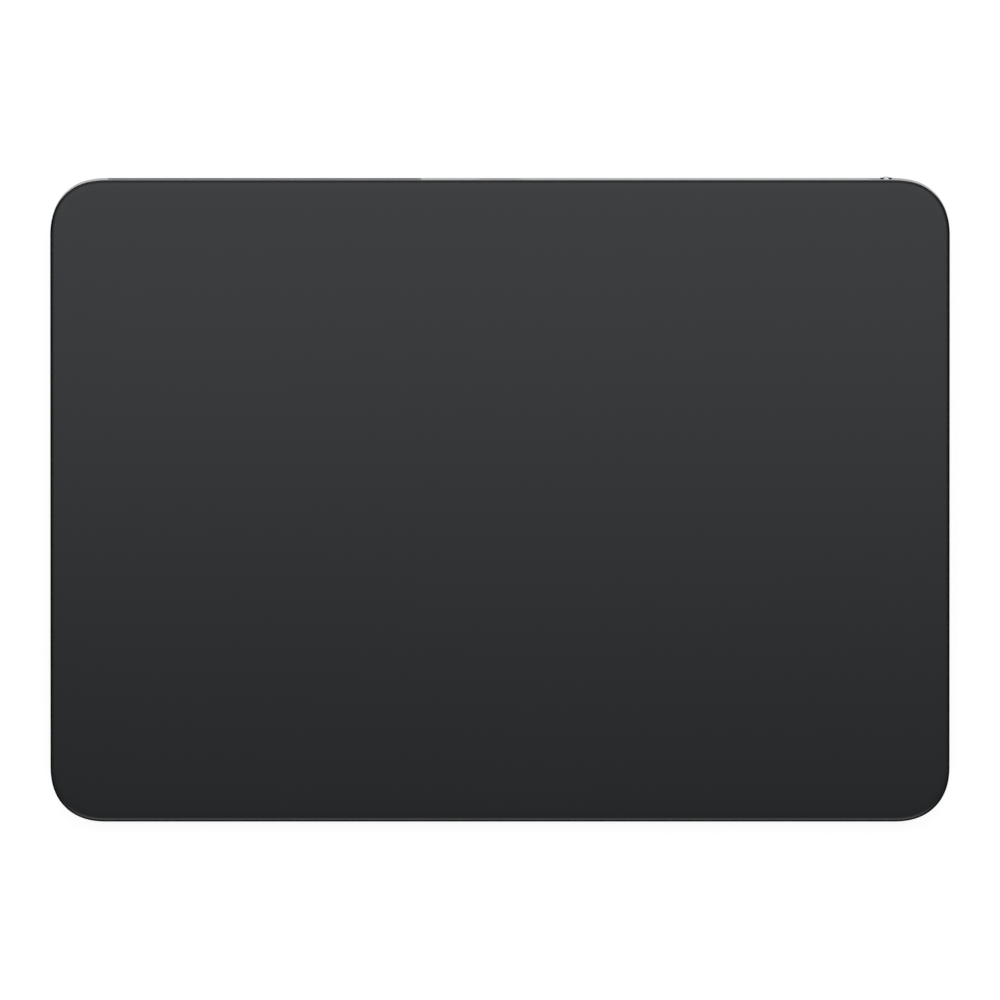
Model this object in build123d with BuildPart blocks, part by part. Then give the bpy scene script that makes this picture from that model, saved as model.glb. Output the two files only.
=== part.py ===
from build123d import *
import os
from math import asin, cos, degrees, radians, sin, tan

os.makedirs("parts", exist_ok=True)

# Overall size. The touch surface slopes from a high rear edge down to the front edge.
width = 160.0
glass_depth = 114.25
front_height = 4.9
rear_height = 10.9
foot_height = 0.5

# Corners seen from above: a round middle that eases into the sides through larger arcs
corner_radius = 8.3
corner_lead_radius = 15.3
corner_lead_angle = 12.5

# Travel of the moving pieces
press_travel = 0.2
haptic_travel = 0.15
switch_travel = 2.14

# Touch plate, from the top down
glass_thickness = 1.0
glass_crown_width = 1.8
glass_crown_drop = 0.08
glass_edge_radius = 0.6
sensor_glue = 0.1
sensor_thickness = 0.5
sensor_setback = 3.0
stiffener_thickness = 0.6
stiffener_setback = 3.6

# Suspension under the touch plate
gel_thickness = 0.6
flexure_thickness = 0.5
seal_thickness = 0.35
seal_margin = 0.3

# Lower case
wall = 1.5
floor_web = 0.65
base_edge_radius = 0.4
rim_break = 0.15
opening_break = 0.12
cover_thickness = 0.35
cover_glue = 0.1
cover_margin = 2.6
cover_clearance = 0.1

# Small clearance between pieces that are set into each other
fit = 0.04

# Slope of the glass, and the heights that follow from it
tilt = asin((rear_height - front_height) / glass_depth)
deck_height = (front_height + rear_height) / 2
wall_lean = (rear_height - foot_height) * tan(tilt)
deck_y = -wall_lean / 2
base_y = deck_y + (deck_height - foot_height) * tan(tilt)
cover_recess = cover_thickness + cover_glue
floor_height = foot_height + cover_recess + floor_web

# Depths below the glass, measured square to it
sensor_top = glass_thickness + sensor_glue
stiffener_top = sensor_top + sensor_thickness
stiffener_bottom = stiffener_top + stiffener_thickness
flexure_top = stiffener_bottom + gel_thickness
flexure_bottom = flexure_top + flexure_thickness
rim_depth = glass_thickness + seal_thickness

# Planes: the sloped touch surface, the flat floor, and the rear wall's outer face seen from behind
deck = Plane(origin=(0, deck_y, deck_height), x_dir=(1, 0, 0), z_dir=(0, -sin(tilt), cos(tilt)))
base = Plane.XY.offset(foot_height)
floor = Plane.XY.offset(floor_height)
rear_face = Plane(
    origin=deck.from_local_coords((0, glass_depth / 2, 0)),
    x_dir=(1, 0, 0),
    z_dir=-deck.y_dir,
)


def below_deck(depth):
    """The plane at this depth under the touch surface and parallel to it."""
    return deck.offset(-depth)


def deck_point(run, depth):
    """World (y, z) of a point at this run up the slope and this depth below the glass."""
    point = deck.from_local_coords((0, run, -depth))
    return point.Y, point.Z


def deck_z(y, depth):
    """Height, over a world y, of the plane at this depth below the glass."""
    return deck_height + (y - deck_y) * tan(tilt) - depth / cos(tilt)


def rear_wall_y(height):
    """Where the rear wall's leaning inner face stands at this height."""
    run = glass_depth / 2 - wall
    return deck_y + run * cos(tilt) + (deck_height + run * sin(tilt) - height) * tan(tilt)


def outline(inset=0):
    """The trackpad's outline drawn in by an inset, with its three-arc corners."""
    half_width = width / 2 - inset
    half_depth = glass_depth / 2 - inset
    lead = corner_lead_radius - inset
    middle = corner_radius - inset
    angle = radians(corner_lead_angle)
    reach = lead * (sin(angle) + 1 - cos(angle)) + middle * (cos(angle) - sin(angle))
    with BuildSketch() as shape:
        with BuildLine():
            side = Line((half_width, 0), (half_width, half_depth - reach))
            into = JernArc(side @ 1, (0, 1), lead, corner_lead_angle)
            turn = JernArc(into @ 1, into % 1, middle, 90 - 2 * corner_lead_angle)
            out = JernArc(turn @ 1, turn % 1, lead, corner_lead_angle)
            Line(out @ 1, (0, half_depth))
            mirror(about=Plane.YZ)
            mirror(about=Plane.XZ)
        make_face()
    return shape.sketch


def save(part, name):
    """Label one finished sub-part and write its file."""
    part.label = name
    export_step(part, f"parts/{name}.step")


# Machine screws, all of one kind: a low wafer head with a hexagon socket
screw_head_radius = 1.2
screw_head_height = 0.3
screw_shank_radius = 0.5
screw_hole_radius = 0.55
screw_socket_radius = 0.5
screw_socket_depth = 0.15
screw_grip = 0.85
pilot_depth = 1.0


def screws(seat, places, through):
    """Screws whose heads sit on a plane, reaching through a piece and into its boss."""
    with BuildPart() as group:
        with BuildSketch(seat):
            with Locations(*places):
                Circle(screw_head_radius)
        extrude(amount=screw_head_height)
        with BuildSketch(seat):
            with Locations(*places):
                Circle(screw_shank_radius)
        extrude(amount=-(through + screw_grip))
        with BuildSketch(seat.offset(screw_head_height)):
            with Locations(*places):
                RegularPolygon(screw_socket_radius, 6)
        extrude(amount=-screw_socket_depth, mode=Mode.SUBTRACT)
    return group.part


# Rubber feet, one near each corner, let through the bottom cover onto the case
foot_radius = 5.0
foot_inset = 13.0
foot_edge_radius = 0.2
foot_places = {
    "front_left": (foot_inset - width / 2, foot_inset - glass_depth / 2 + base_y),
    "front_right": (width / 2 - foot_inset, foot_inset - glass_depth / 2 + base_y),
    "rear_left": (foot_inset - width / 2, glass_depth / 2 - foot_inset + base_y),
    "rear_right": (width / 2 - foot_inset, glass_depth / 2 - foot_inset + base_y),
}
for corner, place in foot_places.items():
    with BuildPart() as foot:
        with BuildSketch():
            with Locations(place):
                Circle(foot_radius)
        extrude(amount=foot_height + cover_recess)
        fillet(foot.edges().sort_by(Axis.Z)[0], foot_edge_radius)
    save(foot.part, f"foot_{corner}")

# Bottom cover and the adhesive sheet that holds it in its recess
with BuildSketch() as cover_shape:
    with Locations((0, base_y)):
        add(outline(cover_margin + cover_clearance))
    with Locations(*foot_places.values()):
        Circle(foot_radius + cover_clearance, mode=Mode.SUBTRACT)

with BuildPart() as bottom_cover:
    with BuildSketch(base):
        add(cover_shape.sketch)
    extrude(amount=cover_thickness)
save(bottom_cover.part, "bottom_cover")

with BuildPart() as cover_adhesive:
    with BuildSketch(base.offset(cover_thickness)):
        add(cover_shape.sketch)
    extrude(amount=cover_glue)
save(cover_adhesive.part, "cover_adhesive")

# Leaf flexures: a screwed root, a narrow neck that bends, and a tip that carries a gel pad
flexure_side = 17.0
flexure_setback = 23.125
root_length = 24.0
root_depth = 6.0
neck_width = 7.0
neck_length = 5.0
tip_width = 12.0
tip_depth = 8.0
flexure_corner = 1.0
flexure_screw_spacing = 16.0
flexure_post_radius = 2.2
gel_width = 9.0
gel_depth = 6.0
gel_corner = 1.5
gauge_width = 5.0
gauge_length = 3.5
gauge_thickness = 0.1
flexure_x = width / 2 - flexure_side
flexure_run = glass_depth / 2 - flexure_setback
flexure_post_edge = flexure_x - flexure_screw_spacing / 2 - flexure_post_radius
tip_run = root_depth / 2 + neck_length + tip_depth / 2
neck_run = (root_depth + neck_length) / 2
flexure_turns = {
    "front_left": Location((-flexure_x, -flexure_run), 180),
    "front_right": Location((flexure_x, -flexure_run), 180),
    "rear_left": Location((-flexure_x, flexure_run), 0),
    "rear_right": Location((flexure_x, flexure_run), 0),
}
flexure_screw_places = [
    (x_side * flexure_x + offset, y_side * flexure_run)
    for x_side in (-1, 1)
    for y_side in (-1, 1)
    for offset in (-flexure_screw_spacing / 2, flexure_screw_spacing / 2)
]

with BuildSketch() as flexure_shape:
    Rectangle(root_length, root_depth)
    with Locations((0, neck_run)):
        Rectangle(neck_width, neck_length)
    with Locations((0, tip_run)):
        Rectangle(tip_width, tip_depth)
    fillet(flexure_shape.vertices(), flexure_corner)
    with GridLocations(flexure_screw_spacing, 0, 2, 1):
        Circle(screw_hole_radius, mode=Mode.SUBTRACT)

for corner, turn in flexure_turns.items():
    with BuildPart() as flexure:
        with BuildSketch(below_deck(flexure_top)):
            with Locations(turn):
                add(flexure_shape.sketch)
        extrude(amount=-flexure_thickness)
    save(flexure.part, f"flexure_{corner}")

save(
    screws(below_deck(flexure_top), flexure_screw_places, flexure_thickness),
    "flexure_screws",
)

with BuildPart() as strain_gauges:
    with BuildSketch(below_deck(flexure_top)):
        with Locations(*flexure_turns.values()):
            with Locations((0, neck_run)):
                Rectangle(gauge_width, gauge_length)
    extrude(amount=gauge_thickness)
save(strain_gauges.part, "strain_gauges")

with BuildPart() as gel_pads:
    with BuildSketch(below_deck(flexure_top)):
        with Locations(*flexure_turns.values()):
            with Locations((0, tip_run)):
                RectangleRounded(gel_width, gel_depth, gel_corner)
    extrude(amount=gel_thickness)
save(gel_pads.part, "gel_pads")

# Flat flexes are all cut from one sheet thickness
flex_thickness = 0.15
flex_corner = 0.5
flex_clearance = 0.2

# Place of the main board in front of the rear wall, and of the haptic actuator near the front
board_side = 34.0
board_depth = 14.0
board_thickness = 0.8
board_gap = 2.2
board_post_height = 1.0
actuator_setback = 37.125
actuator_flex_width = 1.6
bracket_depth = 20.0
board_length = width - 2 * board_side
board_bottom = floor_height + board_post_height
board_top = board_bottom + board_thickness
board_rear_y = rear_wall_y(board_top) - board_gap
board_y = board_rear_y - board_depth / 2
board_front_y = board_rear_y - board_depth
actuator_y = actuator_setback - glass_depth / 2

# Ribs on the case floor locate the battery pack, one round each of its corners
rib_thickness = 0.8
rib_height = 1.2
rib_clearance = 0.3
rib_run = 7.0
rib_space = rib_clearance + rib_thickness

# Battery pouch with its sealed ledge and protection board on the right. It fills the bay
# between the flexure posts, the actuator and the main board, up to the sloping stiffener.
pack_side_gap = 2.1
pack_front_gap = 2.0
pack_rear_gap = 1.465
pack_air = 0.34
cell_edge_radius = 1.2
cell_corner_radius = 2.0
cell_glue = 0.15
ledge_length = 3.3
ledge_margin = 3.0
ledge_thickness = 0.4
pack_right = flexure_post_edge - pack_side_gap - rib_space
cell_left = 2 * flex_clearance + actuator_flex_width + rib_space - flexure_post_edge
cell_right = pack_right - ledge_length
cell_front = actuator_y + bracket_depth / 2 + pack_front_gap
cell_rear = board_front_y - pack_rear_gap
cell_length = cell_right - cell_left
cell_depth = cell_rear - cell_front
cell_x = (cell_left + cell_right) / 2
cell_y = (cell_front + cell_rear) / 2
cell_bottom = floor_height + cell_glue
cell_thickness = deck_z(cell_front, stiffener_bottom) - pack_air - cell_bottom
ledge_depth = cell_depth - 2 * ledge_margin
ledge_bottom = cell_bottom + cell_thickness / 2 - ledge_thickness / 2
ledge_top = ledge_bottom + ledge_thickness
ledge_x = cell_right + ledge_length / 2

with BuildPart() as battery_cell:
    with BuildSketch(Plane.XY.offset(cell_bottom)):
        with Locations((cell_x, cell_y)):
            RectangleRounded(cell_length, cell_depth, cell_corner_radius)
    extrude(amount=cell_thickness)
    fillet(battery_cell.edges().group_by(Axis.Z)[-1], cell_edge_radius)
    fillet(battery_cell.edges().group_by(Axis.Z)[0], cell_edge_radius)
    with BuildSketch(Plane.XY.offset(ledge_bottom)):
        with Locations((ledge_x, cell_y)):
            Rectangle(ledge_length, ledge_depth)
    extrude(amount=ledge_thickness)
save(battery_cell.part, "battery_cell")

# Two strips of adhesive under the cell
glue_strip_depth = 12.0
glue_strip_inset = 4.0
glue_strip_margin = 6.0
glue_strip_spacing = cell_depth - glue_strip_depth - 2 * glue_strip_inset
with BuildPart() as battery_adhesive:
    with BuildSketch(floor):
        with Locations((cell_x, cell_y)):
            with GridLocations(0, glue_strip_spacing, 1, 2):
                Rectangle(cell_length - 2 * glue_strip_margin, glue_strip_depth)
    extrude(amount=cell_glue)
save(battery_adhesive.part, "battery_adhesive")

# Main board, notched round the charging port
board_post_radius = 2.0
board_corner = 1.5
board_notch_width = 22.0
board_notch_depth = 6.0
socket_height = 0.7
socket_top = board_top + socket_height
strip_y = (board_front_y + board_rear_y - board_notch_depth) / 2

# Protection board on the cell's ledge, as high as the sockets so that its flex lies flat
guard_width = 2.8
guard_margin = 5.0
guard_depth = ledge_depth - 2 * guard_margin
guard_x = pack_right - guard_width / 2
with BuildPart() as battery_circuit:
    with BuildSketch(Plane.XY.offset(ledge_top)):
        with Locations((guard_x, cell_y)):
            Rectangle(guard_width, guard_depth)
    extrude(amount=socket_top - ledge_top)
save(battery_circuit.part, "battery_circuit")

# Battery flex: back from the protection board, then left onto its socket
battery_socket_inset = 7.0
battery_socket_x = board_length / 2 - battery_socket_inset
battery_socket_y = board_y - board_depth / 4
battery_flex_width = 2.4
battery_flex_start = 6.0
flex_end_margin = 1.0
battery_flex_front = cell_y + guard_depth / 2 - battery_flex_start
battery_flex_rear = battery_socket_y + battery_flex_width / 2
battery_flex_left = battery_socket_x - flex_end_margin
battery_flex_right = guard_x + battery_flex_width / 2
with BuildPart() as battery_flex:
    with BuildSketch(Plane.XY.offset(socket_top)):
        with Locations((battery_flex_right, battery_flex_front)):
            Rectangle(
                battery_flex_width,
                battery_flex_rear - battery_flex_front,
                align=(Align.MAX, Align.MIN),
            )
        with Locations((battery_flex_right, battery_flex_rear)):
            Rectangle(
                battery_flex_right - battery_flex_left,
                battery_flex_width,
                align=(Align.MAX, Align.MAX),
            )
    extrude(amount=flex_thickness)
    fillet(battery_flex.edges().filter_by(Axis.Z), flex_corner)
save(battery_flex.part, "battery_flex")

# Board posts and screws, two on each arm
board_screw_inset_x = 3.0
board_screw_inset_y = 3.0
board_screw_places = [
    (side * (board_length / 2 - board_screw_inset_x), y)
    for side in (-1, 1)
    for y in (board_front_y + board_screw_inset_y, board_rear_y - board_screw_inset_y)
]

with BuildPart() as main_board:
    with BuildSketch(Plane.XY.offset(board_bottom)):
        with Locations((0, board_y)):
            RectangleRounded(board_length, board_depth, board_corner)
        with Locations((0, board_rear_y)):
            Rectangle(
                board_notch_width,
                board_notch_depth,
                align=(Align.CENTER, Align.MAX),
                mode=Mode.SUBTRACT,
            )
        with Locations(*board_screw_places):
            Circle(screw_hole_radius, mode=Mode.SUBTRACT)
    extrude(amount=board_thickness)
save(main_board.part, "main_board")
save(
    screws(Plane.XY.offset(board_top), board_screw_places, board_thickness),
    "board_screws",
)

# Wireless shield can on the left arm, between the screws and the touch socket
socket_length = 6.0
socket_depth = 2.4
touch_socket_x = -14.0
can_depth = 10.0
can_height = 1.6
can_sheet = 0.2
can_corner = 1.0
can_gap = 0.5
can_left = board_screw_inset_x + screw_head_radius + can_gap - board_length / 2
can_right = touch_socket_x - socket_length / 2 - can_gap
can_length = can_right - can_left
can_x = (can_left + can_right) / 2
with BuildPart() as wireless_shield:
    with BuildSketch(Plane.XY.offset(board_top)):
        with Locations((can_x, board_y)):
            RectangleRounded(can_length, can_depth, can_corner)
    extrude(amount=can_height)
    offset(amount=-can_sheet, openings=wireless_shield.faces().sort_by(Axis.Z)[0])
save(wireless_shield.part, "wireless_shield")

# Chips on the board: the radio under its can, three along the right arm, each at its share
# of that arm, and two rows of small parts beside them
radio_chip = 7.0
main_chip = 8.0
power_chip = 5.0
memory_chip = 4.5
chip_height = 0.9
main_chip_share = 0.2
power_chip_share = 0.457
memory_chip_share = 0.657
small_part_length = 1.0
small_part_width = 0.5
small_part_height = 0.45
small_part_pitch = 1.6
small_part_row = 5.0
small_part_share = 0.25
small_part_row_share = 0.37
arm_start = board_notch_width / 2
arm_length = board_length / 2 - arm_start
small_part_count = int(small_part_row_share * arm_length / small_part_pitch)
with BuildPart() as board_chips:
    for chip_x, chip_size in (
        (can_x, radio_chip),
        (arm_start + main_chip_share * arm_length, main_chip),
        (arm_start + power_chip_share * arm_length, power_chip),
        (arm_start + memory_chip_share * arm_length, memory_chip),
    ):
        with BuildSketch(Plane.XY.offset(board_top)):
            with Locations((chip_x, board_y)):
                Rectangle(chip_size, chip_size)
        extrude(amount=chip_height)
    with BuildSketch(Plane.XY.offset(board_top)):
        with Locations((arm_start + small_part_share * arm_length, board_y)):
            with GridLocations(small_part_pitch, 2 * small_part_row, small_part_count, 2):
                Rectangle(small_part_length, small_part_width)
    extrude(amount=small_part_height)
save(board_chips.part, "board_chips")

# Sockets: battery, touch, port and switch on top, and the actuator's underneath
switch_socket_inset = 9.5
actuator_socket_inset = 7.0
port_socket_x = 0.0
switch_socket_x = board_length / 2 - switch_socket_inset
switch_socket_y = board_rear_y - socket_depth
actuator_socket_x = actuator_socket_inset - board_length / 2
actuator_socket_y = board_y
with BuildPart() as board_connectors:
    with BuildSketch(Plane.XY.offset(board_top)):
        with Locations(
            (touch_socket_x, strip_y),
            (port_socket_x, strip_y),
            (switch_socket_x, switch_socket_y),
        ):
            Rectangle(socket_length, socket_depth)
        with Locations((battery_socket_x, battery_socket_y)):
            Rectangle(socket_depth, socket_depth)
    extrude(amount=socket_height)
    with BuildSketch(floor.offset(flex_thickness)):
        with Locations((actuator_socket_x, actuator_socket_y)):
            Rectangle(socket_depth, socket_length)
    extrude(amount=board_post_height - flex_thickness)
save(board_connectors.part, "board_connectors")

# Space inside the case, above its floor and between its walls
with BuildPart() as cavity:
    with BuildSketch(below_deck(rim_depth)):
        add(outline(wall))
    extrude(amount=-2 * rear_height)
    split(bisect_by=floor, keep=Keep.TOP)

# Charging port, in the middle of the rear wall
port_drop = 5.9
port_length = 8.0
port_height = 2.5
shell_length = 8.9
shell_height = 3.4
shell_depth = 7.0
shell_sheet = 0.4
plug_width = 6.9
plug_height = 1.8
plug_corner = 0.7
plug_depth = 6.3
contact_width = 0.38
contact_pitch = 0.7
contact_thickness = 0.12
contact_length = 4.6
contact_start = 0.8
contact_count = 8
port_center = (0, -port_drop)
housing_length = shell_length - 2 * shell_sheet - 2 * fit
housing_height = shell_height - 2 * shell_sheet - 2 * fit

with BuildPart() as port_shell:
    with BuildSketch(rear_face.offset(wall)):
        with Locations(port_center):
            SlotOverall(shell_length, shell_height)
            SlotOverall(
                shell_length - 2 * shell_sheet,
                shell_height - 2 * shell_sheet,
                mode=Mode.SUBTRACT,
            )
    extrude(amount=shell_depth)
save(port_shell.part, "port_shell")

with BuildPart() as port_receptacle:
    with BuildSketch(rear_face.offset(wall)):
        with Locations(port_center):
            SlotOverall(housing_length, housing_height)
    extrude(amount=shell_depth)
    with BuildSketch(rear_face.offset(wall)):
        with Locations(port_center):
            RectangleRounded(plug_width, plug_height, plug_corner)
    extrude(amount=plug_depth, mode=Mode.SUBTRACT)
save(port_receptacle.part, "port_receptacle")

with BuildPart() as port_contacts:
    with BuildSketch(rear_face.offset(wall + contact_start)):
        with Locations((0, contact_thickness / 2 - port_drop - plug_height / 2)):
            with GridLocations(contact_pitch, 0, contact_count, 1):
                Rectangle(contact_width, contact_thickness)
    extrude(amount=contact_length)
save(port_contacts.part, "port_contacts")

# Clamp strap over the port shell, with an ear and a screw on each side
strap_start = 1.6
strap_depth = 4.0
strap_sheet = 0.4
strap_reach = 10.0
strap_screw_x = 8.3
port_post_radius = 1.7
strap_screw_run = glass_depth / 2 - wall - strap_start - strap_depth / 2
strap_screw_places = [(-strap_screw_x, strap_screw_run), (strap_screw_x, strap_screw_run)]
with BuildPart() as port_bracket:
    with BuildSketch(rear_face.offset(wall + strap_start)):
        with Locations(port_center):
            Rectangle(2 * strap_reach, strap_sheet, align=(Align.CENTER, Align.MIN))
            Rectangle(
                shell_length + 2 * fit + 2 * strap_sheet,
                shell_height / 2 + fit + strap_sheet,
                align=(Align.CENTER, Align.MIN),
            )
            Rectangle(
                shell_length + 2 * fit,
                shell_height / 2 + fit,
                align=(Align.CENTER, Align.MIN),
                mode=Mode.SUBTRACT,
            )
    extrude(amount=strap_depth)
    with Locations(below_deck(port_drop - strap_sheet)):
        with Locations(*strap_screw_places):
            Hole(screw_hole_radius)
save(port_bracket.part, "port_bracket")
save(
    screws(below_deck(port_drop - strap_sheet), strap_screw_places, strap_sheet),
    "port_screws",
)

# Port flex: forward from the back of the receptacle onto its socket
port_flex_width = 5.0
port_back_y = rear_wall_y(socket_top) - shell_depth
with BuildPart() as port_flex:
    with BuildSketch(Plane.XY.offset(socket_top)):
        with Locations((port_socket_x, strip_y - flex_end_margin)):
            Rectangle(
                port_flex_width,
                port_back_y - fit - (strip_y - flex_end_margin),
                align=(Align.CENTER, Align.MIN),
            )
    extrude(amount=flex_thickness)
    fillet(port_flex.edges().filter_by(Axis.Z), flex_corner)
save(port_flex.part, "port_flex")

# Power switch: a slot in the rear wall, off when the knob is at its outer end
slot_side = 12.34
slot_length = 4.27
slot_height = 1.9
slot_corner = 0.9
knob_gap = 0.04
knob_height = 1.75
knob_corner = 0.83
knob_proud = 0.25
knob_inside = 0.55
knob_edge_radius = 0.1
rib_width = 0.85
rib_proud = 0.42
rib_edge_radius = 0.08
scoop_radius = 0.3
scoop_depth = 0.17
stem_width = 0.7
stem_height = 0.7
slot_floor = 0.7
slit_gap = 0.08
indicator_thickness = 0.05
slot_x = width / 2 - slot_side
knob_length = slot_length - switch_travel - 2 * knob_gap
knob_x = slot_x + switch_travel / 2
knob_center = (knob_x, -port_drop)
scoop_x = (rib_width + knob_length) / 4
scoop_run = glass_depth / 2 + knob_proud + scoop_radius - scoop_depth
slit_length = switch_travel + stem_width + 2 * slit_gap
slit_height = stem_height + 2 * slit_gap

# Switch base behind the wall: its front fills the slot's floor, its pocket holds the slider
switch_base_length = 8.0
switch_base_height = 4.0
switch_base_depth = 2.2
pocket_start = 0.7
pocket_gap = 0.1
slider_length = 3.0
slider_height = 2.2
slider_thickness = 1.1
slot_center = (slot_x, -port_drop)
pocket_front = wall + pocket_start
slider_front = pocket_front + pocket_gap
switch_back = wall + switch_base_depth

with BuildPart() as switch_base:
    with BuildSketch(rear_face.offset(wall)):
        with Locations(slot_center):
            Rectangle(switch_base_length, switch_base_height)
    extrude(amount=switch_base_depth)
    add(cavity.part, mode=Mode.INTERSECT)
    with BuildSketch(rear_face.offset(slot_floor)):
        with Locations(slot_center):
            RectangleRounded(slot_length - 2 * fit, slot_height - 2 * fit, slot_corner - fit)
    extrude(amount=wall - slot_floor)
    with BuildSketch(rear_face.offset(slot_floor)):
        with Locations(slot_center):
            Rectangle(slit_length, slit_height)
    extrude(amount=pocket_front - slot_floor, mode=Mode.SUBTRACT)
    with BuildSketch(rear_face.offset(pocket_front)):
        with Locations(slot_center):
            Rectangle(
                slider_length + switch_travel + 2 * pocket_gap,
                slider_height + 2 * pocket_gap,
            )
    extrude(amount=switch_back - pocket_front, mode=Mode.SUBTRACT)
save(switch_base.part, "switch_base")

# Green film on the slot's floor, which the knob covers while it is off
with BuildPart() as on_indicator:
    with BuildSketch(rear_face.offset(slot_floor - indicator_thickness)):
        with Locations(knob_center):
            RectangleRounded(knob_length - 2 * fit, slot_height - 4 * fit, knob_corner)
        with Locations(slot_center):
            Rectangle(slit_length, slit_height, mode=Mode.SUBTRACT)
    extrude(amount=indicator_thickness)
save(on_indicator.part, "on_indicator")

# Knob with a scoop for the fingertip on either side of its rib
with BuildPart() as switch_knob:
    with BuildSketch(rear_face.offset(-knob_proud)):
        with Locations(knob_center):
            RectangleRounded(knob_length, knob_height, knob_corner)
    extrude(amount=knob_proud + knob_inside)
    fillet(switch_knob.faces().sort_by(Axis.Y)[-1].edges(), knob_edge_radius)
    with BuildSketch(below_deck(port_drop)):
        with Locations((knob_x - scoop_x, scoop_run), (knob_x + scoop_x, scoop_run)):
            Circle(scoop_radius)
    extrude(amount=knob_height, both=True, mode=Mode.SUBTRACT)
    with BuildSketch(rear_face.offset(-rib_proud)):
        with Locations(knob_center):
            RectangleRounded(rib_width, knob_height - 2 * knob_edge_radius, rib_width / 3)
    extrude(amount=rib_proud)
    fillet(switch_knob.faces().sort_by(Axis.Y)[-1].edges(), rib_edge_radius)
    with BuildSketch(rear_face.offset(knob_inside)):
        with Locations(knob_center):
            Rectangle(stem_width, stem_height)
    extrude(amount=slider_front - knob_inside)
save(switch_knob.part, "switch_knob")

with BuildPart() as switch_slider:
    with BuildSketch(rear_face.offset(slider_front)):
        with Locations(knob_center):
            Rectangle(slider_length, slider_height)
    extrude(amount=slider_thickness)
save(switch_slider.part, "switch_slider")

# Switch flex: a small board that closes the pocket, and a tail along the wall to its socket
switch_tail_width = 2.0
switch_tail_left = switch_socket_x - socket_length / 2 + flex_end_margin
switch_tail_rear = rear_wall_y(socket_top) - switch_base_depth - flex_thickness / 2
with BuildPart() as switch_flex:
    with BuildSketch(rear_face.offset(switch_back)):
        with Locations(slot_center):
            Rectangle(switch_base_length, switch_base_height)
    extrude(amount=flex_thickness)
    with BuildSketch(Plane.XY.offset(socket_top)):
        with Locations((switch_tail_left, switch_tail_rear)):
            Rectangle(
                slot_x - switch_tail_left,
                switch_tail_width,
                align=(Align.MIN, Align.MAX),
            )
    extrude(amount=flex_thickness)
save(switch_flex.part, "switch_flex")

# Antenna window in the rear wall's left half, with a glued flange behind it. It runs from
# the end of the corner to a little way short of the port.
window_side = 10.25
window_middle = 14.05
window_height = 6.2
window_drop = 6.0
window_corner = 1.2
window_lip = 1.0
window_flange = 0.8
antenna_margin = 2.0
antenna_tail_x = -24.0
antenna_tail_width = 4.0
antenna_tail_reach = 2.5
window_length = width / 2 - window_side - window_middle
window_center = (-window_middle - window_length / 2, -window_drop)

with BuildPart() as antenna_window:
    with BuildSketch(rear_face.offset(wall)):
        with Locations(window_center):
            Rectangle(window_length + 2 * window_lip, window_height + 2 * window_lip)
    extrude(amount=window_flange)
    add(cavity.part, mode=Mode.INTERSECT)
    with BuildSketch(rear_face):
        with Locations(window_center):
            RectangleRounded(
                window_length - 2 * fit,
                window_height - 2 * fit,
                window_corner - fit,
            )
    extrude(amount=wall)
save(antenna_window.part, "antenna_window")

# Antenna film on the flange, with a tail that steps forward onto the main board
antenna_face = wall + window_flange
with BuildPart() as antenna_flex:
    with BuildSketch(rear_face.offset(antenna_face)):
        with Locations(window_center):
            Rectangle(window_length - 2 * antenna_margin, window_height - 2 * antenna_margin)
        with Locations((antenna_tail_x, -window_drop)):
            Rectangle(
                antenna_tail_width,
                rear_face.origin.Z - window_drop - board_top,
                align=(Align.CENTER, Align.MAX),
            )
    extrude(amount=flex_thickness)
    with BuildSketch(Plane.XY.offset(board_top)):
        with Locations((antenna_tail_x, rear_wall_y(board_top) - window_flange - fit)):
            Rectangle(
                antenna_tail_width,
                antenna_tail_reach,
                align=(Align.CENTER, Align.MAX),
            )
    extrude(amount=flex_thickness)
save(antenna_flex.part, "antenna_flex")

# Haptic actuator: two cores on a bracket, a coil on each tooth, pulling a bar under the glass
core_back = 4.0
core_depth = 18.0
tooth_length = 14.0
tooth_width = 5.0
tooth_spacing = 10.0
core_thickness = 1.0
core_shares = (-0.2125, 0.07875)
core_x = [share * width for share in core_shares]
coil_length = 9.0
coil_side = 1.1
coil_cheek = 0.35
coil_corner = 0.3
running_gap = 0.25
bar_gap = haptic_travel + running_gap
bar_width = 3.0
bracket_sheet = 0.4
bracket_rest = 0.4
bracket_margin = 2.0
ear_length = 4.5
ear_height = 0.7
ear_screw_inset = 3.0
ear_post_radius = 1.8
core_bottom = floor_height + bracket_sheet + bracket_rest
bracket_left = core_x[0] - bracket_margin
bracket_right = core_x[1] + core_back + tooth_length + bar_gap + bar_width + bracket_margin
bar_bottom = floor_height + bracket_sheet + press_travel + bar_gap / 2
coil_x = core_back + tooth_length / 2

with BuildPart() as actuator_cores:
    for start_x in core_x:
        with BuildSketch(Plane.XY.offset(core_bottom)):
            with Locations((start_x, actuator_y)):
                Rectangle(core_back, core_depth, align=(Align.MIN, Align.CENTER))
                with GridLocations(0, tooth_spacing, 1, 2):
                    Rectangle(
                        core_back + tooth_length,
                        tooth_width,
                        align=(Align.MIN, Align.CENTER),
                    )
        extrude(amount=core_thickness)
save(actuator_cores.part, "actuator_cores")

with BuildPart() as actuator_coils:
    for start_x in core_x:
        with BuildSketch(Plane.YZ.offset(start_x + coil_x - coil_length / 2)):
            with Locations((actuator_y, core_bottom + core_thickness / 2)):
                with GridLocations(tooth_spacing, 0, 2, 1):
                    RectangleRounded(
                        tooth_width + 2 * coil_side,
                        core_thickness + 2 * coil_cheek,
                        coil_corner,
                    )
                    Rectangle(
                        tooth_width + 2 * fit,
                        core_thickness + 2 * fit,
                        mode=Mode.SUBTRACT,
                    )
        extrude(amount=coil_length)
save(actuator_coils.part, "actuator_coils")

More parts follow.
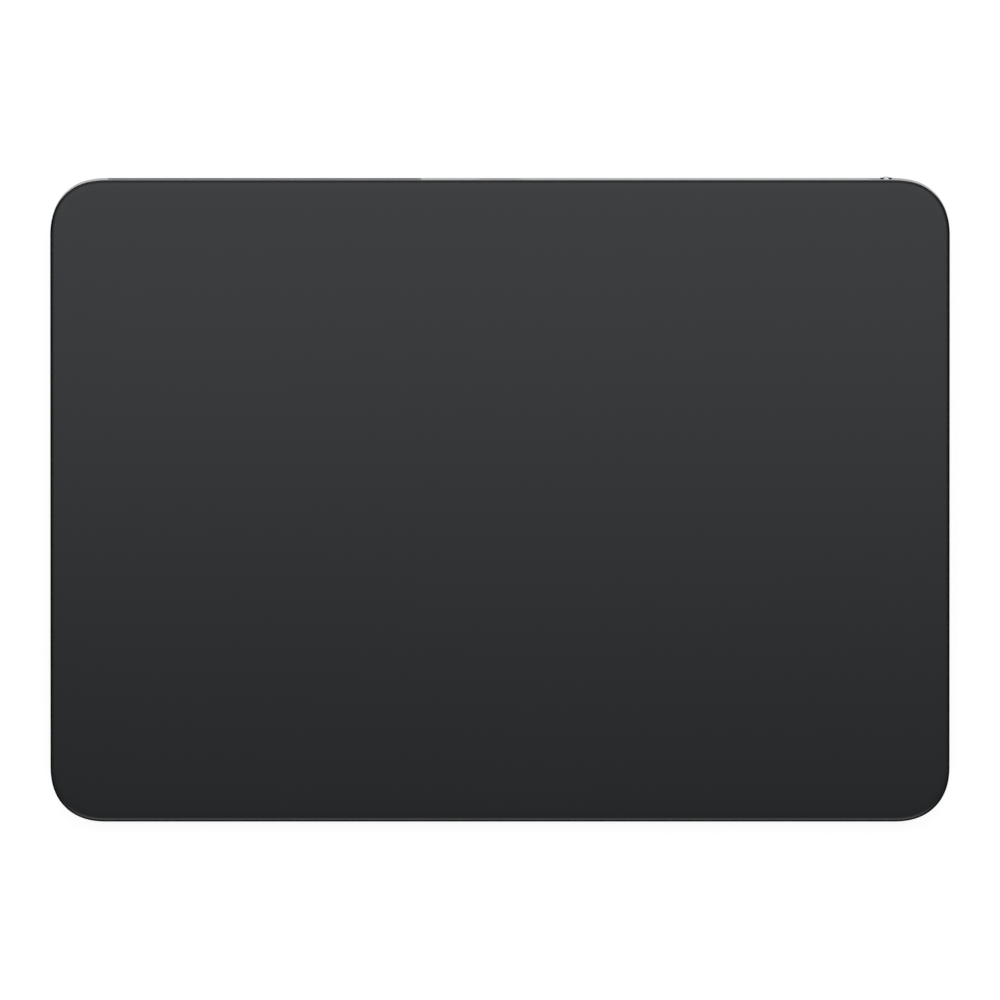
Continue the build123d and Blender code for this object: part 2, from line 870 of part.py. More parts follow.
# The bracket is one pressed sheet: a flat middle, raised rests for the cores, and raised ears
ear_screw_places = [
    (x, actuator_y + side * (bracket_depth / 2 - ear_screw_inset))
    for x in (bracket_left - ear_length / 2, bracket_right + ear_length / 2)
    for side in (-1, 1)
]
with BuildPart() as actuator_bracket:
    with BuildSketch(Plane.XZ.offset(-(actuator_y + bracket_depth / 2))):
        with Locations((bracket_left, floor_height)):
            Rectangle(
                bracket_right - bracket_left,
                bracket_sheet,
                align=(Align.MIN, Align.MIN),
            )
            Rectangle(
                bracket_sheet,
                ear_height + bracket_sheet,
                align=(Align.MIN, Align.MIN),
            )
        with Locations((bracket_right, floor_height)):
            Rectangle(
                bracket_sheet,
                ear_height + bracket_sheet,
                align=(Align.MAX, Align.MIN),
            )
        with Locations((bracket_left, floor_height + ear_height)):
            Rectangle(ear_length, bracket_sheet, align=(Align.MAX, Align.MIN))
        with Locations((bracket_right, floor_height + ear_height)):
            Rectangle(ear_length, bracket_sheet, align=(Align.MIN, Align.MIN))
    extrude(amount=bracket_depth)
    with BuildSketch(floor.offset(bracket_sheet)):
        for start_x in core_x:
            with Locations((start_x, actuator_y)):
                Rectangle(core_back, core_depth, align=(Align.MIN, Align.CENTER))
    extrude(amount=bracket_rest)
    with Locations(Plane.XY.offset(floor_height + ear_height + bracket_sheet)):
        with Locations(*ear_screw_places):
            Hole(screw_hole_radius)
save(actuator_bracket.part, "actuator_bracket")
save(
    screws(
        Plane.XY.offset(floor_height + ear_height + bracket_sheet),
        ear_screw_places,
        bracket_sheet,
    ),
    "actuator_screws",
)

# Actuator flex: along the floor, round the battery's left side and under the main board
actuator_flex_x = cell_left - rib_space - flex_clearance - actuator_flex_width / 2
actuator_flex_end_x = actuator_socket_x + flex_end_margin
with BuildPart() as actuator_flex:
    with BuildSketch(floor):
        with BuildLine():
            Polyline(
                (bracket_left - fit, actuator_y),
                (actuator_flex_x, actuator_y),
                (actuator_flex_x, actuator_socket_y),
                (actuator_flex_end_x, actuator_socket_y),
            )
        trace(line_width=actuator_flex_width)
    extrude(amount=flex_thickness)
save(actuator_flex.part, "actuator_flex")

# Posts in the case for the flexures and the port strap, square to the glass
with BuildPart() as leaning_posts:
    with BuildSketch(below_deck(flexure_bottom)):
        with Locations(*flexure_screw_places):
            Circle(flexure_post_radius)
    extrude(amount=-rear_height)
    with BuildSketch(below_deck(port_drop)):
        with Locations(*strap_screw_places):
            Circle(port_post_radius)
    extrude(amount=-rear_height)
    split(bisect_by=floor.offset(-floor_web / 2), keep=Keep.TOP)

# Lower case: one wedge-shaped tray, hollowed from above
pack_length = pack_right - cell_left
pack_x = (cell_left + pack_right) / 2
with BuildPart() as lower_case:
    with BuildSketch(below_deck(rim_depth)):
        add(outline())
    extrude(amount=-2 * rear_height)
    split(bisect_by=base, keep=Keep.TOP)
    fillet(lower_case.faces().sort_by(Axis.Z)[0].edges(), base_edge_radius)
    chamfer(lower_case.faces().sort_by(Axis.Z)[-1].edges(), rim_break)
    add(cavity.part, mode=Mode.SUBTRACT)
    # Recess for the bottom cover
    with BuildSketch(base):
        with Locations((0, base_y)):
            add(outline(cover_margin))
    extrude(amount=cover_recess, mode=Mode.SUBTRACT)
    # Posts, the port's cradle and the switch's ledge
    add(leaning_posts.part)
    with BuildSketch(floor):
        with Locations(*board_screw_places):
            Circle(board_post_radius)
    extrude(amount=board_post_height)
    with BuildSketch(floor):
        with Locations(*ear_screw_places):
            Circle(ear_post_radius)
    extrude(amount=ear_height)
    with BuildSketch(floor):
        with Locations((pack_x, cell_y)):
            Rectangle(pack_length + 2 * rib_space, cell_depth + 2 * rib_space)
            Rectangle(
                pack_length + 2 * rib_clearance,
                cell_depth + 2 * rib_clearance,
                mode=Mode.SUBTRACT,
            )
            Rectangle(
                pack_length - 2 * rib_run,
                cell_depth + 2 * rib_space,
                mode=Mode.SUBTRACT,
            )
            Rectangle(
                pack_length + 2 * rib_space,
                cell_depth - 2 * rib_run,
                mode=Mode.SUBTRACT,
            )
    extrude(amount=rib_height)
    with BuildSketch(rear_face.offset(wall)):
        with Locations((slot_x, -port_drop - switch_base_height / 2)):
            Rectangle(
                switch_base_length,
                switch_base_height / 3,
                align=(Align.CENTER, Align.MAX),
            )
    extrude(amount=switch_base_depth)
    with BuildSketch(rear_face.offset(wall + strap_start)):
        with Locations((0, -port_drop - shell_height / 2)):
            Rectangle(shell_length / 2, shell_height / 2, align=(Align.CENTER, Align.MAX))
    extrude(amount=strap_depth)
    # Openings in the rear wall
    with BuildSketch(rear_face):
        with Locations(window_center):
            RectangleRounded(window_length, window_height, window_corner)
        with Locations(port_center):
            SlotOverall(port_length, port_height)
        with Locations(slot_center):
            RectangleRounded(slot_length, slot_height, slot_corner)
    extrude(amount=wall, both=True, mode=Mode.SUBTRACT)
    # Broken edges round the port and the switch's slot
    with BuildSketch(rear_face):
        with Locations(port_center):
            SlotOverall(port_length + 2 * opening_break, port_height + 2 * opening_break)
        with Locations(slot_center):
            RectangleRounded(
                slot_length + 2 * opening_break,
                slot_height + 2 * opening_break,
                slot_corner + opening_break,
            )
    extrude(amount=opening_break, taper=45, mode=Mode.SUBTRACT)
    # Pilot holes for the screws
    with Locations(below_deck(flexure_bottom)):
        with Locations(*flexure_screw_places):
            Hole(screw_hole_radius, pilot_depth)
    with Locations(below_deck(port_drop)):
        with Locations(*strap_screw_places):
            Hole(screw_hole_radius, pilot_depth)
    with Locations(Plane.XY.offset(board_bottom)):
        with Locations(*board_screw_places):
            Hole(screw_hole_radius, pilot_depth)
    with Locations(Plane.XY.offset(floor_height + ear_height)):
        with Locations(*ear_screw_places):
            Hole(screw_hole_radius, pilot_depth)
save(lower_case.part, "lower_case")

# Foam seal on the rim, which dips with the glass
with BuildPart() as foam_seal:
    with BuildSketch(below_deck(rim_depth)):
        add(outline(seal_margin))
        add(outline(wall - seal_margin), mode=Mode.SUBTRACT)
    extrude(amount=seal_thickness)
save(foam_seal.part, "foam_seal")

# Glass touch surface: flat, with a shallow crown that runs out to a rounded edge.
# The edge's section is swept round the outline and joined to the flat middle.
crown_radius = glass_crown_width**2 / (2 * glass_crown_drop)
crown_turn = degrees(asin((glass_crown_width - glass_edge_radius) / crown_radius))
edge_plane = Plane(
    origin=deck.from_local_coords((width / 2, 0, 0)),
    x_dir=(1, 0, 0),
    z_dir=-deck.y_dir,
)
with BuildSketch(deck) as touch_outline:
    add(outline())

with BuildSketch(edge_plane) as glass_edge:
    with BuildLine():
        crown = CenterArc((-glass_crown_width, -crown_radius), crown_radius, 90, -crown_turn)
        round_end = (0, (crown @ 1).Y - glass_edge_radius)
        edge_round = TangentArc(crown @ 1, round_end, tangent=crown % 1)
        Polyline(
            edge_round @ 1,
            (0, -glass_thickness),
            (-glass_crown_width, -glass_thickness),
            crown @ 0,
        )
    make_face()

with BuildPart() as glass_surface:
    with BuildSketch(below_deck(glass_thickness)):
        add(outline(glass_crown_width))
    extrude(amount=glass_thickness)
    sweep(glass_edge.sketch, path=touch_outline.sketch.wire())
save(glass_surface.part, "glass_surface")

# Adhesive sheet and touch sensor board behind the glass
with BuildPart() as sensor_adhesive:
    with BuildSketch(below_deck(sensor_top)):
        add(outline(sensor_setback))
    extrude(amount=sensor_glue)
save(sensor_adhesive.part, "sensor_adhesive")

with BuildPart() as touch_sensor_board:
    with BuildSketch(below_deck(stiffener_top)):
        add(outline(sensor_setback))
    extrude(amount=sensor_thickness)
save(touch_sensor_board.part, "touch_sensor_board")

# Touch controller chips under the sensor board, in windows of the stiffener
touch_chip = 7.0
touch_chip_height = 0.9
touch_chip_side = 19.0
touch_chip_run = 4.0
chip_gap = 1.0
touch_chip_x = width / 2 - touch_chip_side
touch_chip_places = [(-touch_chip_x, touch_chip_run), (touch_chip_x, touch_chip_run)]
with BuildPart() as touch_chips:
    with BuildSketch(below_deck(stiffener_top)):
        with Locations(*touch_chip_places):
            Rectangle(touch_chip, touch_chip)
    extrude(amount=-touch_chip_height)
save(touch_chips.part, "touch_chips")

# Sensor flex: glued under the sensor board, it folds back on itself down to its socket
sensor_flex_width = 6.0
sensor_flex_glued = 5.0
flex_slot_gap = 1.0
sensor_flex_bend = (strip_y + socket_depth / 2 - deck_y) / cos(tilt)
sensor_flex_start = sensor_flex_bend - sensor_flex_glued
flex_top = stiffener_top + flex_thickness / 2
bend_y, bend_z = deck_point(sensor_flex_bend, flex_top)
fold_radius = (bend_z - socket_top - flex_thickness / 2) / (1 + cos(tilt))
with BuildPart() as sensor_flex:
    with BuildSketch(Plane.YZ.offset(touch_socket_x - sensor_flex_width / 2)):
        with BuildLine():
            glued = Line(deck_point(sensor_flex_start, flex_top), (bend_y, bend_z))
            fold = JernArc(glued @ 1, glued % 1, fold_radius, -(180 + degrees(tilt)))
            Line(fold @ 1, (strip_y - flex_end_margin, (fold @ 1).Y))
        trace(line_width=flex_thickness)
    extrude(amount=sensor_flex_width)
save(sensor_flex.part, "sensor_flex")

# Steel stiffener, with windows for the chips and the flex and three to save weight
# between the chips, the attraction bars and the flex
lighten_count = 3
lighten_web = 8.0
lighten_end_web = 6.0
lighten_side_web = 9.5
window_round = 3.0
lighten_reach = touch_chip_x - touch_chip / 2 - chip_gap - lighten_side_web
lighten_pitch = (2 * lighten_reach + lighten_web) / lighten_count
lighten_width = lighten_pitch - lighten_web
lighten_rear = sensor_flex_start - flex_slot_gap - lighten_end_web
lighten_front = actuator_y - deck_y + core_depth / 2 + lighten_end_web
lighten_depth = lighten_rear - lighten_front
with BuildPart() as stiffener:
    with BuildSketch(below_deck(stiffener_bottom)):
        add(outline(stiffener_setback))
        with Locations(*touch_chip_places):
            RectangleRounded(
                touch_chip + 2 * chip_gap,
                touch_chip + 2 * chip_gap,
                chip_gap,
                mode=Mode.SUBTRACT,
            )
        with Locations((0, (lighten_front + lighten_rear) / 2)):
            with GridLocations(lighten_pitch, 0, lighten_count, 1):
                RectangleRounded(
                    lighten_width,
                    lighten_depth,
                    window_round,
                    mode=Mode.SUBTRACT,
                )
        with Locations((touch_socket_x, sensor_flex_start - flex_slot_gap)):
            Rectangle(
                sensor_flex_width + 2 * flex_slot_gap,
                sensor_flex_bend + fold_radius - sensor_flex_start + 2 * flex_slot_gap,
                align=(Align.CENTER, Align.MIN),
                mode=Mode.SUBTRACT,
            )
    extrude(amount=stiffener_thickness)
save(stiffener.part, "stiffener")

# Attraction bars that hang from the stiffener in front of the cores' teeth
with BuildPart() as attraction_bars:
    with BuildSketch(below_deck(stiffener_bottom)):
        for start_x in core_x:
            with Locations((start_x + core_back + tooth_length + bar_gap, actuator_y - deck_y)):
                Rectangle(bar_width, core_depth, align=(Align.MIN, Align.CENTER))
    extrude(amount=-rear_height)
    split(bisect_by=Plane.XY.offset(bar_bottom), keep=Keep.TOP)
save(attraction_bars.part, "attraction_bars")
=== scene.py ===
import math

import bpy
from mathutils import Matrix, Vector


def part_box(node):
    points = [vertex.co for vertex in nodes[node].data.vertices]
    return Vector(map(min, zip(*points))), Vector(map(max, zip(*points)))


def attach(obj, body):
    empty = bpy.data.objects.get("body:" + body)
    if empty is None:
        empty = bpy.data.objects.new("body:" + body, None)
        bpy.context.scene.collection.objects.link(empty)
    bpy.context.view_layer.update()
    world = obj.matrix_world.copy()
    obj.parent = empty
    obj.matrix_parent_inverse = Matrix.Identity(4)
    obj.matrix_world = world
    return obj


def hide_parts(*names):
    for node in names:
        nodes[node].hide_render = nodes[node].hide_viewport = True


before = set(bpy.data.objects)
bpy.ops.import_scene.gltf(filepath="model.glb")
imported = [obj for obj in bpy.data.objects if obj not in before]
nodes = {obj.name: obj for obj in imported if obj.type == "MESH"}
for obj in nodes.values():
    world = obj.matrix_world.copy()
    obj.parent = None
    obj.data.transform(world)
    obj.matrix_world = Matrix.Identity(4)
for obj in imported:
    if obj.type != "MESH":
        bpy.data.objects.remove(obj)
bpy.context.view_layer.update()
bpy.ops.object.select_all(action="DESELECT")
mm = 0.001
print("frame loaded:", len(nodes), "parts")

# The wedge, in mm, as it stands on the desk
wedge = {
    "width": 160.0,
    "depth": 114.25,
    "frontHeight": 4.9,
    "rearHeight": 10.9,
    "footHeight": 0.5,
    "cornerRadius": 8.3,
    "cornerLeadRadius": 15.3,
    "cornerLeadAngle": 12.5,
}
tilt = math.asin((wedge["rearHeight"] - wedge["frontHeight"]) / wedge["depth"])
slopeMiddle = Vector((
    0,
    -(wedge["rearHeight"] - wedge["footHeight"]) * math.tan(tilt) / 2,
    (wedge["frontHeight"] + wedge["rearHeight"]) / 2,
)) * mm


# Materials

def hexColour(text):
    # sRGB hex to the linear colour that the shader sockets take
    parts = [int(text[i:i + 2], 16) / 255 for i in (0, 2, 4)]
    linear = [p / 12.92 if p <= 0.04045 else ((p + 0.055) / 1.055) ** 2.4 for p in parts]
    return (*linear, 1.0)


def addNode(tree, kind, values=None, links=None, **settings):
    # one node, its settings, its fixed inputs and its links
    node = tree.nodes.new(kind)
    for name, value in settings.items():
        setattr(node, name, value)
    for socket, value in (values or {}).items():
        node.inputs[socket].default_value = value
    for socket, source in (links or {}).items():
        tree.links.new(source, node.inputs[socket])
    return node


# How every finish is mottled: a slow drift between its two colours, and a fine grain
mottle = {
    "driftDetail": 3.0,
    "driftRoughness": 0.55,
    "driftRange": (0.35, 0.65),
    "grainDetail": 4.0,
    "grainRoughness": 0.6,
    "grainRange": (0.3, 0.7),
    "bumpStrength": 0.5,
}


def finish(name, look):
    # A surface from its look: colour, a second colour that drifts in, roughness with its own
    # spread, and a grain, with sizes in mm. Constants stay on the shader's own sockets.
    material = bpy.data.materials.new(name)
    material.use_nodes = True
    tree = material.node_tree
    tree.nodes.clear()
    output = addNode(tree, "ShaderNodeOutputMaterial")
    shader = addNode(tree, "ShaderNodeBsdfPrincipled", values=look.get("fixed", {}))
    tree.links.new(shader.outputs["BSDF"], output.inputs["Surface"])
    place = addNode(tree, "ShaderNodeTexCoord").outputs["Object"]
    drift = addNode(
        tree, "ShaderNodeTexNoise", links={"Vector": place},
        values={
            "Scale": 1 / (look["driftSize"] * mm),
            "Detail": mottle["driftDetail"],
            "Roughness": mottle["driftRoughness"],
        },
    )
    grain = addNode(
        tree, "ShaderNodeTexNoise", links={"Vector": place},
        values={
            "Scale": 1 / (look["grainSize"] * mm),
            "Detail": mottle["grainDetail"],
            "Roughness": mottle["grainRoughness"],
        },
    )
    colours = addNode(tree, "ShaderNodeValToRGB", links={"Fac": drift.outputs["Fac"]})
    stops = zip(colours.color_ramp.elements, mottle["driftRange"], ("colour", "driftColour"))
    for stop, position, key in stops:
        stop.position = position
        stop.color = hexColour(look[key])
    tree.links.new(colours.outputs["Color"], shader.inputs["Base Color"])
    fromLow, fromHigh = mottle["grainRange"]
    low, high = look["roughness"]
    spread = addNode(
        tree, "ShaderNodeMapRange", links={"Value": grain.outputs["Fac"]},
        values={"From Min": fromLow, "From Max": fromHigh, "To Min": low, "To Max": high},
    )
    tree.links.new(spread.outputs["Result"], shader.inputs["Roughness"])
    if look.get("grainHeight"):
        bump = addNode(
            tree, "ShaderNodeBump", links={"Height": grain.outputs["Fac"]},
            values={"Strength": mottle["bumpStrength"], "Distance": look["grainHeight"] * mm},
        )
        tree.links.new(bump.outputs["Normal"], shader.inputs["Normal"])
    return material


# Real grit, etch and spark textures are mostly under 0.1 mm, so most grains are drawn two or
# three times as coarse, in order to show
looks = {
    # Toughened glass, acid etched on top and inked black behind: a satin, not a mirror
    "etchedBlackGlass": {
        "colour": "0f1011", "driftColour": "101112", "driftSize": 60.0, "grainSize": 0.35,
        "roughness": (0.353, 0.373),
        "fixed": {"IOR": 1.5, "Specular IOR Level": 0.38, "Specular Tint": hexColour("f4fafe")},
    },
    # The same glass where its edge is ground and inked: dull, with hardly any gloss. Where it
    # reaches further up the edge at the front and sides than at the rear, it is painted shade
    "groundEdgeAndShade": {
        "colour": "0c0c0d", "driftColour": "0e0e0f", "driftSize": 6.0, "grainSize": 0.12,
        "roughness": (0.5, 0.56), "grainHeight": 0.002,
        "fixed": {"IOR": 1.5, "Specular IOR Level": 0.0},
    },
    # Aluminium, bead blasted and clear anodised: an even pale grey with a very fine sparkle.
    # Its grey is set darker than the silver metal, partly as painted shade for the shadowed
    # floor that its walls mirror.
    # Its pits are about 0.05 mm, drawn at 0.25 mm so that they show
    "beadBlastedAluminium": {
        "colour": "97989a", "driftColour": "9b9c9e", "driftSize": 30.0, "grainSize": 0.25,
        "roughness": (0.36, 0.52), "grainHeight": 0.006,
        "fixed": {"Metallic": 1.0},
    },
    # Glass-filled polycarbonate, moulded with a fine spark texture to match the aluminium
    "mouldedGreyPolycarbonate": {
        "colour": "5e5f62", "driftColour": "606164", "driftSize": 14.0, "grainSize": 0.18,
        "roughness": (0.62, 0.72), "grainHeight": 0.006,
        "fixed": {"IOR": 1.58, "Specular IOR Level": 0.06},
    },
    # Polycarbonate sheet with a matt lacquer, which closes the underside
    "mattCoverPanel": {
        "colour": "a9aaac", "driftColour": "abacae", "driftSize": 25.0, "grainSize": 0.3,
        "roughness": (0.52, 0.62), "grainHeight": 0.008, "fixed": {"IOR": 1.58},
    },
    # Silicone rubber, matt from the mould
    "greyFootRubber": {
        "colour": "8d8e90", "driftColour": "949597", "driftSize": 4.0, "grainSize": 0.25,
        "roughness": (0.66, 0.8), "grainHeight": 0.012, "fixed": {"IOR": 1.41},
    },
    # Aluminium, milled and anodised: brighter and sharper than the blasted case
    "milledKnobAluminium": {
        "colour": "bcbdbf", "driftColour": "c2c3c5", "driftSize": 1.2, "grainSize": 0.1,
        "roughness": (0.26, 0.34), "grainHeight": 0.002, "fixed": {"Metallic": 1.0},
    },
    # Painted shade in the knob's finger scoops: dark and matt beside the bright rib, where the
    # aluminium knob only lies in shade
    "scoopPaintedShade": {
        "colour": "1f2022", "driftColour": "242527", "driftSize": 0.8, "grainSize": 0.08,
        "roughness": (0.55, 0.65), "grainHeight": 0.002,
        "fixed": {"IOR": 1.5, "Specular IOR Level": 0.1},
    },
    # Acetal, moulded: slippery and slightly waxy
    "mouldedAcetal": {
        "colour": "98999b", "driftColour": "9e9fa1", "driftSize": 2.0, "grainSize": 0.15,
        "roughness": (0.38, 0.46), "grainHeight": 0.003, "fixed": {"IOR": 1.48},
    },
    # Polyester film printed signal green
    "greenFilm": {
        "colour": "3fc45a", "driftColour": "45cc61", "driftSize": 1.0, "grainSize": 0.1,
        "roughness": (0.3, 0.36), "fixed": {"IOR": 1.58},
    },
    # Liquid crystal polymer, moulded black and matt
    "blackConnectorPlastic": {
        "colour": "17181a", "driftColour": "1c1d1f", "driftSize": 1.5, "grainSize": 0.12,
        "roughness": (0.42, 0.52), "grainHeight": 0.003, "fixed": {"IOR": 1.64},
    },
    # Stainless steel sheet, stamped and rolled: long faint mill lines are lost at this size
    "stampedSteel": {
        "colour": "a9a8a5", "driftColour": "b4b3b0", "driftSize": 6.0, "grainSize": 0.2,
        "roughness": (0.28, 0.42), "grainHeight": 0.002, "fixed": {"Metallic": 1.0},
    },
    # Gold flash over nickel
    "goldPlate": {
        "colour": "e0b45c", "driftColour": "e8bf6c", "driftSize": 0.8, "grainSize": 0.1,
        "roughness": (0.2, 0.28), "fixed": {"Metallic": 1.0},
    },
    # Enamelled copper wire, wound tight and lacquered
    "enamelledCopper": {
        "colour": "b0602f", "driftColour": "c0703c", "driftSize": 1.5, "grainSize": 0.12,
        "roughness": (0.25, 0.38), "grainHeight": 0.02, "fixed": {"Metallic": 1.0},
    },
    # Glass epoxy laminate under dark solder mask
    "solderMaskBoard": {
        "colour": "0d2418", "driftColour": "12301f", "driftSize": 5.0, "grainSize": 0.3,
        "roughness": (0.28, 0.4), "grainHeight": 0.004, "fixed": {"IOR": 1.55},
    },
    # Moulded epoxy chip packages
    "chipEpoxy": {
        "colour": "1a1a1b", "driftColour": "202021", "driftSize": 2.0, "grainSize": 0.12,
        "roughness": (0.5, 0.6), "grainHeight": 0.003, "fixed": {"IOR": 1.55},
    },
    # Polyimide flex with its amber coverlay
    "polyimideFilm": {
        "colour": "8a5312", "driftColour": "975d18", "driftSize": 4.0, "grainSize": 0.2,
        "roughness": (0.3, 0.4), "fixed": {"IOR": 1.7},
    },
    # Laminated aluminium pouch foil
    "pouchFoil": {
        "colour": "9a9b9d", "driftColour": "a5a6a8", "driftSize": 7.0, "grainSize": 1.4,
        "roughness": (0.34, 0.48), "grainHeight": 0.03, "fixed": {"Metallic": 1.0},
    },
    # Pressure-sensitive transfer tape
    "transferTape": {
        "colour": "d9d6cb", "driftColour": "dedbd1", "driftSize": 5.0, "grainSize": 0.3,
        "roughness": (0.5, 0.62), "fixed": {"IOR": 1.48},
    },
    # Microcellular urethane foam, black
    "microcellFoam": {
        "colour": "141415", "driftColour": "1a1a1b", "driftSize": 3.0, "grainSize": 0.15,
        "roughness": (0.85, 0.95), "grainHeight": 0.03, "fixed": {"IOR": 1.4},
    },
    # Soft damping gel, dyed blue-grey
    "dampingGel": {
        "colour": "6f7f8c", "driftColour": "788895", "driftSize": 2.0, "grainSize": 0.4,
        "roughness": (0.2, 0.3), "fixed": {"IOR": 1.41},
    },
}

finishes = {name: finish(name, look) for name, look in looks.items()}

# Which finish each part of the assembly has
finishOfNode = {
    "beadBlastedAluminium": ["lower_case"],
    "etchedBlackGlass": ["glass_surface"],
    "mouldedGreyPolycarbonate": ["antenna_window"],
    "mattCoverPanel": ["bottom_cover"],
    "greyFootRubber": [n for n in nodes if n.startswith("foot_")],
    "milledKnobAluminium": ["switch_knob"],
    "mouldedAcetal": ["switch_base", "switch_slider"],
    "greenFilm": ["on_indicator"],
    "blackConnectorPlastic": ["port_receptacle", "board_connectors"],
    "stampedSteel": [
        "port_shell", "port_bracket", "port_screws", "board_screws", "flexure_screws",
        "actuator_screws", "actuator_bracket", "actuator_cores", "attraction_bars",
        "stiffener", "wireless_shield", "flexure_front_left", "flexure_front_right",
        "flexure_rear_left", "flexure_rear_right",
    ],
    "goldPlate": ["port_contacts"],
    "enamelledCopper": ["actuator_coils"],
    "solderMaskBoard": ["main_board", "touch_sensor_board", "battery_circuit"],
    "chipEpoxy": ["board_chips", "touch_chips"],
    "polyimideFilm": [
        "actuator_flex", "antenna_flex", "battery_flex", "port_flex", "sensor_flex",
        "switch_flex", "strain_gauges",
    ],
    "pouchFoil": ["battery_cell"],
    "transferTape": ["battery_adhesive", "cover_adhesive", "sensor_adhesive"],
    "microcellFoam": ["foam_seal"],
    "dampingGel": ["gel_pads"],
}
for finishName, members in finishOfNode.items():
    for member in members:
        for slot in nodes[member].material_slots:
            slot.material = finishes[finishName]
unfinished = set(nodes) - {m for members in finishOfNode.values() for m in members}
print("finishes on parts, left over:", sorted(unfinished))


# Modelling helpers

smoothAngle = math.radians(35)
squareOn = 0.9  # how nearly a face or an edge lines up with an axis to count as facing it


def cornerShape(inset):
    # reach and bevel profile of the three-arc corner, drawn in by an inset in mm
    lead = wedge["cornerLeadRadius"] - inset
    middle = wedge["cornerRadius"] - inset
    angle = math.radians(wedge["cornerLeadAngle"])
    sine, cosine = math.sin(angle), math.cos(angle)
    reach = lead * (sine + 1 - cosine) + middle * (cosine - sine)
    gap = reach - lead * sine - middle * (math.sin(math.pi / 4) - sine)
    return reach, (1 - gap / reach) ** 2


def selectWhere(kind, test):
    # in edit mode, selects only the faces, edges or points that pass the test
    obj = bpy.context.object
    bpy.ops.mesh.select_all(action="DESELECT")
    bpy.ops.mesh.select_mode(type=kind)
    bpy.ops.object.mode_set(mode="OBJECT")
    mesh = obj.data
    items = {"FACE": mesh.polygons, "EDGE": mesh.edges, "VERT": mesh.vertices}
    for item in items[kind]:
        item.select = test(item, mesh)
    bpy.ops.object.mode_set(mode="EDIT")


def isUpright(edge, mesh):
    a, b = (mesh.vertices[i].co for i in edge.vertices)
    return abs(a.z - b.z) > squareOn * (a - b).length


def roundedBlank(name, inset, top, thickness, segments):
    # a plate with the wedge's corners, its top at z = top, all in mm
    bpy.ops.mesh.primitive_cube_add(size=1, location=(0, 0, 0))
    blank = bpy.context.object
    blank.name = name
    bpy.ops.object.mode_set(mode="EDIT")
    size = Vector((wedge["width"] - 2 * inset, wedge["depth"] - 2 * inset, thickness)) * mm
    bpy.ops.transform.resize(value=size)
    bpy.ops.transform.translate(value=(0, 0, (top - thickness / 2) * mm))
    reach, profile = cornerShape(inset)
    selectWhere("EDGE", isUpright)
    bpy.ops.mesh.bevel(offset=reach * mm, segments=segments, profile=profile, affect="EDGES")
    return blank


def settle(piece, body, material):
    # gives a finished piece its smooth shading, finish, slot and body, all in its mesh
    bpy.ops.object.mode_set(mode="OBJECT")
    piece.rotation_euler = (tilt, 0, 0)
    piece.location = slopeMiddle
    bpy.ops.object.transform_apply(location=True, rotation=True, scale=True)
    bpy.ops.object.shade_smooth_by_angle(angle=smoothAngle)
    piece.data.materials.append(finishes[material])
    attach(piece, body)
    piece.select_set(False)


# Touch glass: a flat middle that falls away in two shallow crowns, one wide and one close to
# the border, then a rounded edge, and a small arris below. Each is a width and a drop in mm.
# The edge is ground where it is steeper than a given angle. That angle is larger at the rear,
# so the front and sides get a wider dull band, which is painted shade.
touchGlass = {
    "thickness": 1.0,
    "wideCrown": (6.5, 0.065),
    "borderCrown": (2.2, 0.068),
    "edgeRound": (0.92, 0.62),
    "arris": 0.08,
    "steps": (10, 7, 12),
    "groundAndShadeFrom": (35.0, 56.0),
    "cornerSegments": 40,
}


def makeTouchGlass(size):
    wide, border, edge = size["wideCrown"], size["borderCrown"], size["edgeRound"]
    wideSteps, borderSteps, edgeSteps = size["steps"]
    runs = [edge[0] * (1 - math.cos(math.pi / 2 * i / edgeSteps)) for i in range(edgeSteps)]
    runs += [edge[0] + (border[0] - edge[0]) * i / borderSteps for i in range(borderSteps)]
    runs += [border[0] + (wide[0] - border[0]) * i / wideSteps for i in range(wideSteps + 1)]

    def depthAt(run):
        # how far the surface lies under the flat middle at this distance in from the edge
        share = [max(0.0, 1 - run / part[0]) for part in (wide, border, edge)]
        rounding = edge[1] * (1 - math.sqrt(1 - share[2] ** 2))
        return wide[1] * share[0] ** 2 + border[1] * share[1] ** 2 + rounding

    sideTop = -depthAt(0)
    sideHeight = size["thickness"] + sideTop - size["arris"]
    glass = roundedBlank("touch_glass", 0, sideTop, sideHeight, size["cornerSegments"])
    selectWhere("FACE", lambda face, mesh: face.normal.z > squareOn)
    for run, nextRun in zip(runs, runs[1:]):
        rise = depthAt(run) - depthAt(nextRun)
        bpy.ops.mesh.inset(thickness=(nextRun - run) * mm, depth=rise * mm)
    selectWhere("FACE", lambda face, mesh: face.normal.z < -squareOn)
    bpy.ops.mesh.inset(thickness=size["arris"] * mm, depth=size["arris"] * mm)
    settle(glass, "touch_plate", "etchedBlackGlass")
    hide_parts("glass_surface")
    glass.data.materials.append(finishes["groundEdgeAndShade"])
    deckUp = Vector((0, -math.sin(tilt), math.cos(tilt)))
    usual, atRear = size["groundAndShadeFrom"]
    # the dull band starts at a steeper angle towards the rear: painted shade that leaves the
    # front and sides darker than the rear
    for face in glass.data.polygons:
        towardsRear = max(0.0, Vector((face.normal.x, face.normal.y)).normalized().y)
        groundAndShadeFrom = math.radians(usual + (atRear - usual) * towardsRear)
        face.material_index = int(abs(face.normal.dot(deckUp)) < math.cos(groundAndShadeFrom))
    print("touch glass made, faces:", len(glass.data.polygons))
    return glass


glass = makeTouchGlass(touchGlass)
lowest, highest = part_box("glass_surface")
for axis in range(3):
    spread = [v.co[axis] for v in glass.data.vertices]
    past = (min(spread) - lowest[axis], max(spread) - highest[axis])
    print("touch glass against its part, mm:", [round(p / mm, 3) for p in past])


# Switch knob: the part's own shape, with its two scoops made shallower and given painted shade
switchKnob = {"ribHalf": 0.43, "scoopReach": 0.25, "scoopShare": 0.3, "weld": 0.0005}


